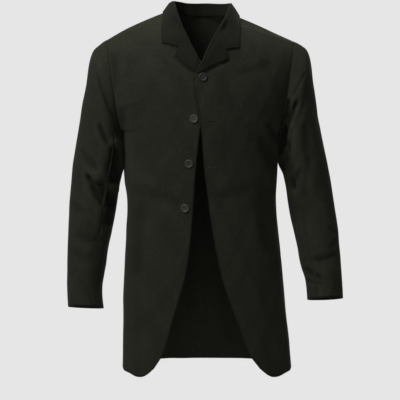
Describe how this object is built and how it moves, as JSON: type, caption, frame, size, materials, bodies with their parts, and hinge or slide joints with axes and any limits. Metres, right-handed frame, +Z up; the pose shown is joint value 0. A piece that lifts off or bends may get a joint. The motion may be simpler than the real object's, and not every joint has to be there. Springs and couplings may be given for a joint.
{
  "type": "frock coat",
  "caption": "Black wool cutaway frock coat in its worn form, hollow, with notched lapels, a turned-down collar, two-piece sleeves and rounded front tails.",
  "frame": {"origin": "middle of the neck, level with the points where the shoulder seams meet the collar", "axes": "+Z up, the fronts face -Y, +X towards the wearer's left"},
  "size_m": [0.6716, 0.2687, 0.9193],
  "materials": {
    "wool_cloth": "dense matt black wool with a faint olive cast",
    "horn_button": "dark horn with a soft shine"
  },
  "bodies": {
    "root": {"front_left": "wool_cloth", "front_right": "wool_cloth", "back_left": "wool_cloth", "back_right": "wool_cloth", "lapel_left": "wool_cloth", "lapel_right": "wool_cloth", "collar": "wool_cloth", "sleeve_upper_left": "wool_cloth", "sleeve_under_left": "wool_cloth", "sleeve_upper_right": "wool_cloth", "sleeve_under_right": "wool_cloth", "button_1": "horn_button", "button_2": "horn_button", "button_3": "horn_button", "button_4": "horn_button"}
  },
  "joints": []
}
